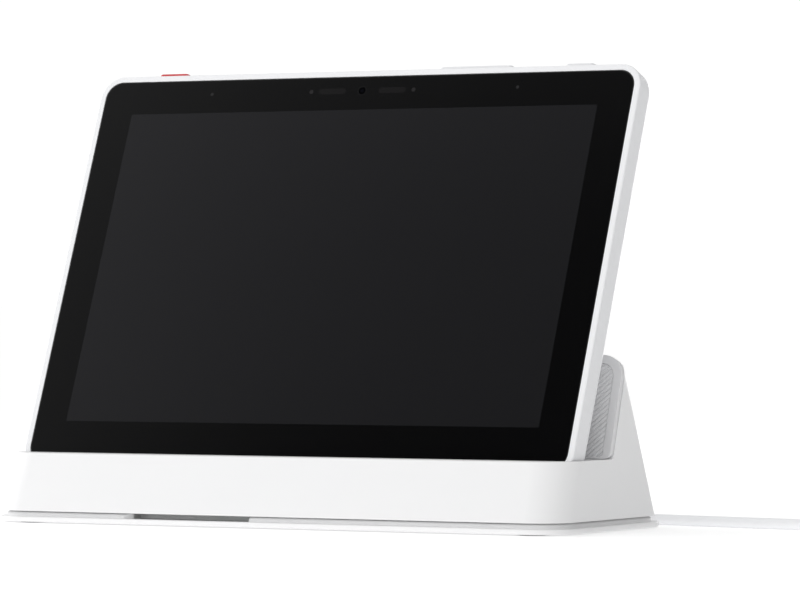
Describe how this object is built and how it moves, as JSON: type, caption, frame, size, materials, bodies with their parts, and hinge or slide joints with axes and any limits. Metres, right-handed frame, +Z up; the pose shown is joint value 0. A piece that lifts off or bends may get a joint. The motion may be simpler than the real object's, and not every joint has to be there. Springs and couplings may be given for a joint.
{
  "type": "smart home hub",
  "caption": "Tablet-style home control display that leans back in a wedge-shaped charging dock with a ribbed rest pad, and lifts out; its cord ends in a coil and a flat plug.",
  "frame": {"origin": "on the desk, under the middle of the dock's base plate", "axes": "+X to the right as seen from the front, +Y to the back, +Z up; the screen faces -Y and leans back"},
  "size_m": [0.3131, 0.1458, 0.1459],
  "materials": {
    "cover_glass": "gloss black printed cover glass with a dark grey screen that is off",
    "white_plastic": "fine satin",
    "grille_plastic": "fine satin",
    "grey_rubber": "matte soft-touch, ribbed",
    "foot_rubber": "matte",
    "red_plastic": "satin",
    "black_plastic": "matte",
    "circuit_board": "solder mask",
    "chassis_metal": "satin",
    "panel_shell": "satin foil",
    "screw_steel": "bright",
    "plug_metal": "nickel plated",
    "contact_gold": "gold plated",
    "cord_jacket": "satin jacket",
    "tie_strap": "woven strap"
  },
  "bodies": {
    "dock": {"dock_shell": "white_plastic", "rest_pad": "grey_rubber", "base_plate": "white_plastic", "foot_1": "foot_rubber", "foot_2": "foot_rubber", "foot_3": "foot_rubber", "foot_4": "foot_rubber", "base_screw_1": "screw_steel", "base_screw_2": "screw_steel", "base_screw_3": "screw_steel", "base_screw_4": "screw_steel", "dock_board": "circuit_board", "pin_block": "black_plastic", "counterweight": "screw_steel", "strain_relief": "cord_jacket", "power_cord": "cord_jacket", "cord_tail": "cord_jacket", "cord_coil": "cord_jacket", "cord_tie": "tie_strap", "plug_body": "cord_jacket", "plug_shell": "plug_metal"},
    "contact_pin_1": {"contact_pin_1": "contact_gold"},
    "contact_pin_2": {"contact_pin_2": "contact_gold"},
    "contact_pin_3": {"contact_pin_3": "contact_gold"},
    "contact_pin_4": {"contact_pin_4": "contact_gold"},
    "display": {"cover_glass": "cover_glass", "display_frame": "white_plastic", "rear_cover": "white_plastic", "speaker_grille": "grille_plastic", "lcd_panel": "panel_shell", "chassis_plate": "chassis_metal", "main_board": "circuit_board", "board_screw_1": "screw_steel", "board_screw_2": "screw_steel", "board_screw_3": "screw_steel", "board_screw_4": "screw_steel", "battery": "panel_shell", "camera_module": "black_plastic", "speaker_left": "black_plastic", "speaker_right": "black_plastic", "sensor_board_left": "circuit_board", "sensor_board_right": "circuit_board", "microphone_left": "screw_steel", "microphone_right": "screw_steel", "sos_button_board": "circuit_board", "volume_key_board": "circuit_board", "power_button_board": "circuit_board", "contact_carrier": "black_plastic", "charge_pad_1": "contact_gold", "charge_pad_2": "contact_gold", "charge_pad_3": "contact_gold", "charge_pad_4": "contact_gold"},
    "sos_button": {"sos_button": "red_plastic"},
    "volume_key": {"volume_key": "white_plastic"},
    "power_button": {"power_button": "white_plastic"}
  },
  "joints": [
    {"name": "display_lift", "type": "slide", "parent": "dock", "child": "display", "axis": [0, 0.3668, 0.9303], "range_m": [0, 0.055]},
    {"name": "sos_press", "type": "slide", "parent": "display", "child": "sos_button", "axis": [0, 0.3668, 0.9303], "range_m": [-0.0004, 0], "stiffness_N_per_m": 800},
    {"name": "volume_rock", "type": "hinge", "parent": "display", "child": "volume_key", "pos_m": [0.0388, 0.02864, 0.14204], "axis": [0, -0.9303, 0.3668], "range_deg": [-1.5, 1.5], "stiffness_Nm_per_rad": 0.8},
    {"name": "power_press", "type": "slide", "parent": "display", "child": "power_button", "axis": [0, 0.3668, 0.9303], "range_m": [-0.0004, 0], "stiffness_N_per_m": 800},
    {"name": "pin_1_press", "type": "slide", "parent": "dock", "child": "contact_pin_1", "axis": [0, 0.3668, 0.9303], "range_m": [-0.0008, 0], "stiffness_N_per_m": 300},
    {"name": "pin_2_press", "type": "slide", "parent": "dock", "child": "contact_pin_2", "axis": [0, 0.3668, 0.9303], "range_m": [-0.0008, 0], "stiffness_N_per_m": 300},
    {"name": "pin_3_press", "type": "slide", "parent": "dock", "child": "contact_pin_3", "axis": [0, 0.3668, 0.9303], "range_m": [-0.0008, 0], "stiffness_N_per_m": 300},
    {"name": "pin_4_press", "type": "slide", "parent": "dock", "child": "contact_pin_4", "axis": [0, 0.3668, 0.9303], "range_m": [-0.0008, 0], "stiffness_N_per_m": 300}
  ]
}
